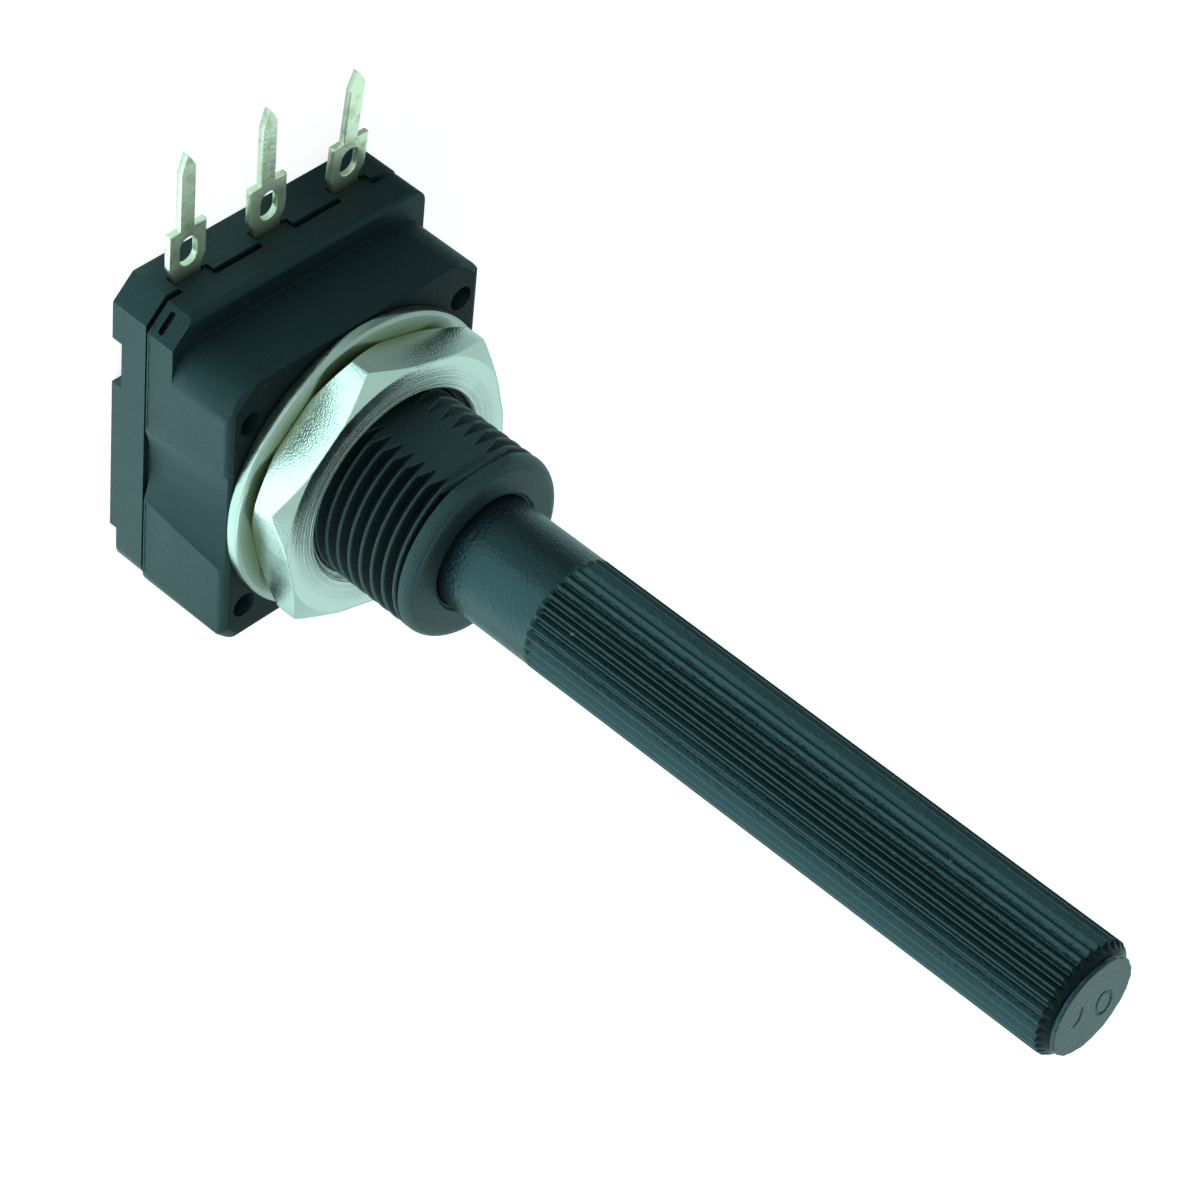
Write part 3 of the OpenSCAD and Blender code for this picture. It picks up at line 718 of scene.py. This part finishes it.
class POT_OT_terminals(bpy.types.Operator):
    """Stamped terminals: each is one closed ring of sections. A section runs from the eyelet's
    edge to the plate's outline and back on the other side, with the edges rounded by the tool;
    the right one is bent a little forward, by a slope that starts at its root."""

    bl_idname = "pot.terminals"
    bl_label = "Terminals"

    pitch = 5.0
    outline = (
        (-0.85, 7.6), (-0.85, 9.85), (-1.125, 10.45), (-1.125, 12.42), (-0.5, 12.45), (-0.5, 15.75),
        (-0.17, 16.74), (-0.13, 16.74), (0.13, 16.40), (0.38, 15.95), (0.38, 12.45), (1.125, 12.42),
        (1.125, 10.45), (0.85, 9.85), (0.85, 7.6), (0.6, 7.0), (0.0, 6.75), (-0.6, 7.0),
    )
    eyelet_centre, eyelet_r, eyelet_straight = (0.04, 11.06), 0.53, 0.28
    back, front, edge_r = 1.46, 1.81, 0.04
    root_y, pin_y = 9.7, 13.0

    def execute(self, context):
        lean = settings().terminal_lean
        places = {"left": (-self.pitch, 0.0), "centre": (0.0, 0.0), "right": (self.pitch, lean)}
        edge = self.resampled(np.array(self.outline, float), 0.12)
        for side, (shift, slope) in places.items():
            points = self.plate(edge, shift, slope)
            piece = mesh_from_grid("terminal_plate_" + side, points, close_rows=True, close_columns=True)
            dress(piece, "tinning", "housing", node=["terminal_" + side])
            even_shading(piece)
        return {"FINISHED"}

    @staticmethod
    def resampled(corners, step):
        """Closed outline with extra points along each side, no further apart than the step."""
        parts = []
        for start, end in zip(corners, np.roll(corners, -1, axis=0)):
            count = max(1, int(math.ceil(np.hypot(*(end - start)) / step)))
            share = np.arange(count)[:, None] / count
            parts.append(start + (end - start) * share)
        return np.concatenate(parts)

    def inset(self, line, depth):
        """The closed line moved inward at each point by a depth, square to its two sides, and by
        less where the pin is narrow, so that the line never crosses itself near the point."""
        before, after = line - np.roll(line, 1, axis=0), np.roll(line, -1, axis=0) - line
        inward = 0.0
        for way in (before, after):
            way = way / np.linalg.norm(way, axis=1, keepdims=True)
            inward = inward + np.stack([way[:, 1], -way[:, 0]], axis=1)
        scale = 2.0 / np.maximum((inward ** 2).sum(axis=1, keepdims=True), 0.8)
        narrow = np.clip(np.abs(line[:, :1]) / 0.35, 0.12, 1.0)
        share = np.where(line[:, 1:] > self.pin_y, narrow, 1.0)
        return line + inward * scale * depth * share

    def eyelet(self, way):
        """Distance from the eyelet's centre to its edge along each way: a slot with round ends and
        two sides that are straight for a length on either side of the middle."""
        across, along = np.abs(way[:, 0:1]), np.abs(way[:, 1:2])
        radius, straight = self.eyelet_r, self.eyelet_straight
        side = radius / np.maximum(across, 1e-6)
        end = straight * along + np.sqrt(np.maximum(radius ** 2 - (straight * across) ** 2, 0.0))
        return np.where(side * along <= straight, side, end)

    def plate(self, edge, shift, lean):
        """Grid of a terminal's surface: closed lines from the eyelet to the outline and back."""
        back, front, soft, mid = self.back, self.front, self.edge_r, 0.3 * self.edge_r
        ray = edge - np.array(self.eyelet_centre)
        way = ray / np.hypot(ray[:, 0], ray[:, 1])[:, None]
        near = self.eyelet(way)
        hole, hole_mid, hole_rim, hole_face = (
            np.array(self.eyelet_centre) + way * (near + out) for out in (0.0, mid, soft, 2 * soft)
        )
        slim, rim, deep = (self.inset(edge, depth) for depth in (mid, soft, 2 * soft))
        middle = (hole_face + deep) / 2
        levels = [
            (hole, back + soft), (hole, front - soft), (hole_mid, front - mid), (hole_rim, front),
            (hole_face, front), (middle, front), (deep, front), (rim, front), (slim, front - mid),
            (edge, front - soft), (edge, back + soft), (slim, back + mid), (rim, back), (deep, back),
            (middle, back), (hole_face, back), (hole_rim, back), (hole_mid, back + mid),
        ]
        rows = []
        for spot, height in levels:
            bend = lean * np.maximum(spot[:, 1] - self.root_y, 0.0)
            rows.append(np.stack([spot[:, 0] + shift, spot[:, 1], height + bend], axis=-1))
        return np.array(rows)


class POT_OT_metal(bpy.types.Operator):
    """Nut and washer. The nut is one closed surface: its outline radius is half the flats over
    the cosine of the angle from the facet's middle, both faces fall off beyond the ring as
    (outline - ring) times the chamfer's slope, and the bore carries the thread's wave."""

    bl_idname = "pot.metal"
    bl_label = "Washer and nut"

    facets = 6
    ring_r = 7.03
    front_slope, back_slope = 0.58, 0.74
    nut_bore_r, nut_thread_depth, nut_phase = 5.0, 0.22, 0.6

    def execute(self, context):
        sizes = settings()
        nut = mesh_from_grid("nut_surface", self.nut(sizes)[::-1], close_rows=True, close_columns=True)
        dress(nut, "nut plating", "nut", node=["nut"])
        even_shading(nut)
        washer = mesh_from_grid("washer_surface", self.washer(sizes), close_rows=True, close_columns=True)
        dress(washer, "washer plating", "washer", node=["washer"])
        even_shading(washer)
        return {"FINISHED"}

    def hexagon(self, sizes):
        """Angles round the nut, closer together at its corners, and the outline's radius there."""
        facet, near_corner = 360 / self.facets, (21, 23.5, 26, 28, 29, 29.5)
        before = [-angle for angle in reversed(near_corner)]
        away = np.radians(np.array([-facet / 2, *before, *range(-18, 19, 3), *near_corner]))
        middle = np.radians(sizes.nut_angle + facet / 2 + facet * np.arange(self.facets))
        theta = (middle[:, None] + away[None, :]).ravel()
        off = np.tile(away, self.facets)
        from_corner = 1.0 - np.abs(np.degrees(off)) / (facet / 2)
        worn_corner = 0.05 * np.exp(-((from_corner / 0.05) ** 2))
        return theta, sizes.nut_flats / 2 / np.cos(off) - worn_corner

    def nut(self, sizes):
        """Grid of the nut: rows over the rear face, the outline, the front face and the thread."""
        theta, outline = self.hexagon(sizes)
        ring = np.minimum(self.ring_r, outline - 0.05)
        back, front, edge = sizes.nut_back, sizes.nut_front, 0.03
        low = back + (outline - ring) * self.back_slope
        high = front - (outline - ring) * self.front_slope
        section = [
            (5.05, back + 0.3), (5.28, back + edge), (5.34, back), (5.4, back), (6.4, back),
            (ring - 2 * edge, back), (ring, back + 0.3 * edge), (ring + edge, back + 0.6 * edge + 0.01),
            (outline - 2 * edge, low - edge), (outline - 0.5 * edge, low), (outline, low + edge),
            (outline, low + 2 * edge), (outline, (back + front) / 2), (outline, high - 2 * edge),
            (outline, high - edge), (outline - 0.5 * edge, high), (outline - 2 * edge, high + edge),
            (ring + edge, front - 0.6 * edge - 0.01), (ring, front - 0.3 * edge), (ring - 2 * edge, front),
            (6.6, front), (6.2, front), (5.8, front), (5.5, front), (5.42, front),
            (5.38, front - 0.3 * edge), (5.35, front - edge), (5.12, front - 0.3),
        ]
        for height in np.linspace(front - 0.32, back + 0.34, 50):
            phase = np.mod(height / sizes.thread_pitch - theta / FULL_TURN + self.nut_phase, 1.0)
            section.append((self.nut_bore_r + self.nut_thread_depth * np.abs(phase - 0.5) * 2.0, height))
        ones = np.ones_like(theta)
        return np.array([
            np.stack([radius * np.cos(theta), radius * np.sin(theta), height * ones], axis=-1)
            for radius, height in section
        ])

    @staticmethod
    def washer(sizes):
        """Grid of the washer: up the bore, out over the front face, round the rim and back."""
        bottom, top, rim, bore, rounding = sizes.case_z, sizes.nut_back, sizes.washer_r, 5.2, 0.2
        section = [(bottom + 0.06, bore), (top - 0.1, bore), (top - 0.03, bore + 0.03)]
        section += [(top, bore + 0.1), (top, bore + 0.2)]
        section += [(top, radius) for radius in (6.2, 7.2, rim - 0.34, rim - 0.26)]
        section += ring_arc(rim - rounding, top - rounding, rounding, 80, 8, 7)
        section += [(top - 0.24, rim), (bottom + 0.1, rim), (bottom + 0.03, rim - 0.03)]
        section += [(bottom, rim - 0.1), (bottom, rim - 0.2), (bottom, bore + 0.15), (bottom, bore + 0.06)]
        return revolve(section, turn_angles(240))


class POT_OT_inside(bpy.types.Operator):
    """Finishes the hidden pieces inside: wafer, prints, rivets, carrier and wiper."""

    bl_idname = "pot.inside"
    bl_label = "Inner pieces"

    finishes = {
        "rotor": "spindle moulding", "wiper": "silvering", "track_board": "resin wafer",
        "carbon_track": "carbon film", "collector_track": "silvering",
        "end_pad_left": "silvering", "end_pad_right": "silvering",
        "rivet_left": "tinning", "rivet_centre": "tinning", "rivet_right": "tinning",
    }

    def execute(self, context):
        for node, key in self.finishes.items():
            paint(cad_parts[node], key)
        return {"FINISHED"}


class POT_OT_flash(bpy.types.Operator):
    """Thin moulding lines: small round beads half sunk in the case, each a circle of points
    carried along a path of straight runs."""

    bl_idname = "pot.flash"
    bl_label = "Moulding lines"

    side_x, split_x = -7.99, -0.6
    flange_y, root_y = 9.49, 8.1
    lip_z = 2.56

    def execute(self, context):
        for name, (path, radius) in self.paths().items():
            points = self.bead(np.array(path, float), radius)
            piece = mesh_from_grid(name, points, close_columns=True, caps=True)
            dress(piece, "case moulding", "housing")
        return {"FINISHED"}

    def paths(self):
        """Each line's corners and the radius of its bead."""
        side, split, flange, root, lip = self.side_x, self.split_x, self.flange_y, self.root_y, self.lip_z
        over_step = [(split, 9.2, 4.15), (split, 8.12, 4.16), (split, 8.09, 4.3)]
        up_face = (split, 8.09, settings().case_z - 0.2)
        return {
            "flange_edge_line": ([(-6.6, flange, 3.84), (7.0, flange, 3.84)], 0.045),
            "root_line": ([(-6.4, root, 4.17), (6.6, root, 4.17)], 0.05),
            "split_line": ([(split, flange, 2.6), (split, flange, 3.85), *over_step, up_face], 0.035),
            "rear_lip_line": ([(-7.62, 8.62, lip), (-7.98, 8.15, lip), (side, 2.4, lip)], 0.055),
            "rear_lip_line_low": ([(side, -2.4, lip), (side, -6.9, lip)], 0.045),
        }

    @staticmethod
    def bead(path, radius):
        """Grid of a bead of slightly uneven size along a path."""
        longest_step, sides, least_size, unevenness = 0.3, 10, 0.8, 0.2
        parts = []
        for start, end in zip(path[:-1], path[1:]):
            count = max(2, int(np.linalg.norm(end - start) / longest_step))
            parts.append(start + (end - start) * (np.arange(count)[:, None] / count))
        line = np.concatenate([*parts, path[-1:]])
        way = np.gradient(line, axis=0)
        way /= np.linalg.norm(way, axis=1, keepdims=True)
        along_x = np.abs(way[:, :1]) > 0.8
        side = np.cross(way, np.where(along_x, np.array([[0.0, 1.0, 0.0]]), np.array([[1.0, 0.0, 0.0]])))
        side /= np.linalg.norm(side, axis=1, keepdims=True)
        up = np.cross(way, side)
        turn = turn_angles(sides)[None, :, None]
        size = radius * (least_size + unevenness * np.sin(np.arange(len(line)) * 1.7))[:, None, None]
        ring = side[:, None, :] * np.cos(turn) + up[:, None, :] * np.sin(turn)
        return line[:, None, :] + ring * size


class POT_OT_stage(bpy.types.Operator):
    """Floor, soft lights, backdrop and camera at the photo's angle."""

    bl_idname = "pot.stage"
    bl_label = "Studio"

    floor_half = 900
    photo_pixels, focal_pixels, sensor_width = 1200.0, 4726.8, 36.0
    azimuth, elevation, roll = 218.256, 27.097, 126.666
    aim_height = 19.76
    camera_away, camera_right, camera_down = 217.796, 3.410, 0.817

    def execute(self, context):
        scene = context.scene
        scene.view_settings.view_transform = "Standard"
        ends = (-self.floor_half, self.floor_half)
        points = np.array([[[x, y, 0] for x in ends] for y in ends], float)
        floor = mesh_from_grid("floor", points, smooth=False)
        floor.data.materials.append(self.floor_material())
        self.world(scene)
        self.light("key_left", (-200, -150, 130), (0, 0, 14), 200, 0.24, (0.68, 0.98, 1.0))
        self.light("front_soft", (150, -190, 160), (0, 0, 20), 260, 0.055, (0.72, 1.0, 1.0))
        self.light("camera_fill", (-150, 120, 210), (0, 0, 15), 160, 0.07, (0.8, 1.0, 1.0))
        self.camera(scene)
        return {"FINISHED"}

    @staticmethod
    def ray_mix(tree, plain, camera, glossy):
        """Colour that differs for camera rays, glossy rays and all the others."""
        rays = new_node(tree, "ShaderNodeLightPath").outputs
        mirrored = mixed(tree, rays["Is Glossy Ray"], plain, glossy)
        return mixed(tree, rays["Is Camera Ray"], mirrored, camera)

    @staticmethod
    def toward(tree, way, direction, span, tones):
        """Tone that changes as the way from the centre turns towards a direction."""
        values = {0: way, 1: direction}
        part = new_node(tree, "ShaderNodeVectorMath", values, operation="DOT_PRODUCT")
        return map_range(tree, part.outputs["Value"], span, tones)

    def floor_material(self):
        """Pale floor. Mirror rays see it glow, a painted reflection: brighter on the left of the object, as
        if lit from there, and darker towards +x +y.
        """
        mat, tree, surface = new_material("studio floor")
        values = {0: object_place(tree)}
        way = new_node(tree, "ShaderNodeVectorMath", values, operation="NORMALIZE").outputs["Vector"]
        bright = self.toward(tree, way, (-1.0, 0.0, 0.0), (0.42, 0.64), (1.0, 2.5))
        dark = self.toward(tree, way, (0.616, 0.788, 0.0), (0.8, 0.98), (1.0, 0.35))
        # Painted reflection: the floor glows for mirror rays only, brighter on the left and dimmer towards
        # +x +y.
        painted_reflection_glow = scaled(tree, (0.62, 0.95, 0.95), compute(tree, "MULTIPLY", bright, dark))
        set_inputs(tree, surface, {
            "Roughness": 0.9,
            "Specular IOR Level": 0.0,
            "Base Color": self.ray_mix(tree, (0.6, 0.66, 0.65, 1.0), (0.9, 0.9, 0.9, 1.0), BLACK),
            "Emission Color": self.ray_mix(tree, BLACK, (0.80, 0.78, 0.78, 1.0), painted_reflection_glow),
            "Emission Strength": 1.0,
        })
        return mat

    def world(self, scene):
        """White backdrop for the camera, and a soft grey-green for all the other rays."""
        world = bpy.data.worlds.new("studio")
        scene.world = world
        world.use_nodes = True
        tree = world.node_tree
        tone = self.ray_mix(tree, (0.18, 0.25, 0.26, 1.0), (1.0, 1.0, 1.0, 1.0), (0.54, 0.78, 0.76, 1.0))
        set_inputs(tree, tree.nodes["Background"], {"Color": tone})

    @staticmethod
    def light(name, place, aim, size, power, colour):
        """Square soft light at a place, turned to its aim; places and size in mm."""
        data = bpy.data.lights.new(name, "AREA")
        data.shape = "SQUARE"
        data.size = size * MM
        data.energy = power
        data.color = colour
        lamp = bpy.data.objects.new(name, data)
        bpy.context.scene.collection.objects.link(lamp)
        lamp.location = Vector(place) * MM
        lamp.rotation_euler = (Vector(aim) - Vector(place)).to_track_quat("-Z", "Y").to_euler()

    def camera(self, scene):
        """Camera of the photo, from the angles, the distance and the focal length fitted to it."""
        angles = (self.azimuth, self.elevation, self.roll)
        azimuth, elevation, roll = (math.radians(angle) for angle in angles)
        out = math.cos(elevation)
        back = Vector((math.sin(azimuth) * out, -math.cos(azimuth) * out, math.sin(elevation)))
        level = Vector((math.cos(azimuth), math.sin(azimuth), 0.0))
        over = back.cross(level)
        right = level * math.cos(roll) + over * math.sin(roll)
        up = over * math.cos(roll) - level * math.sin(roll)
        aim = Vector((0.0, 0.0, self.aim_height))
        place = aim + back * self.camera_away + right * self.camera_right - up * self.camera_down
        data = bpy.data.cameras.new("camera")
        data.sensor_width = self.sensor_width
        data.lens = self.focal_pixels / self.photo_pixels * self.sensor_width
        data.clip_start = 0.005
        data.clip_end = 5.0
        camera = bpy.data.objects.new("camera", data)
        scene.collection.objects.link(camera)
        turn = Matrix((right, up, back)).transposed().to_4x4()
        camera.matrix_world = Matrix.Translation(place * MM) @ turn
        scene.camera = camera


class POT_PT_panel(bpy.types.Panel):
    """Buttons and sizes in the 3D view's sidebar."""

    bl_label = "Potentiometer"
    bl_idname = "POT_PT_panel"
    bl_space_type = "VIEW_3D"
    bl_region_type = "UI"
    bl_category = "Potentiometer"

    def draw(self, context):
        for name in PotSettings.__annotations__:
            self.layout.prop(context.scene.pot_settings, name)
        for step in STEPS:
            self.layout.operator(step.bl_idname)


STEPS = (
    POT_OT_case, POT_OT_bush, POT_OT_spindle, POT_OT_terminals, POT_OT_metal, POT_OT_inside,
    POT_OT_flash, POT_OT_stage,
)
CLASSES = (PotSettings, *STEPS, POT_PT_panel)


def register():
    for cls in CLASSES:
        bpy.utils.register_class(cls)
    bpy.types.Scene.pot_settings = bpy.props.PointerProperty(type=PotSettings)


def unregister():
    del bpy.types.Scene.pot_settings
    for cls in reversed(CLASSES):
        bpy.utils.unregister_class(cls)


def main():
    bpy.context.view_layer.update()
    register()
    bpy.ops.pot.case()
    bpy.ops.pot.bush()
    bpy.ops.pot.spindle()
    bpy.ops.pot.terminals()
    bpy.ops.pot.metal()
    bpy.ops.pot.inside()
    bpy.ops.pot.flash()
    bpy.ops.pot.stage()


if __name__ == "__main__":
    main()
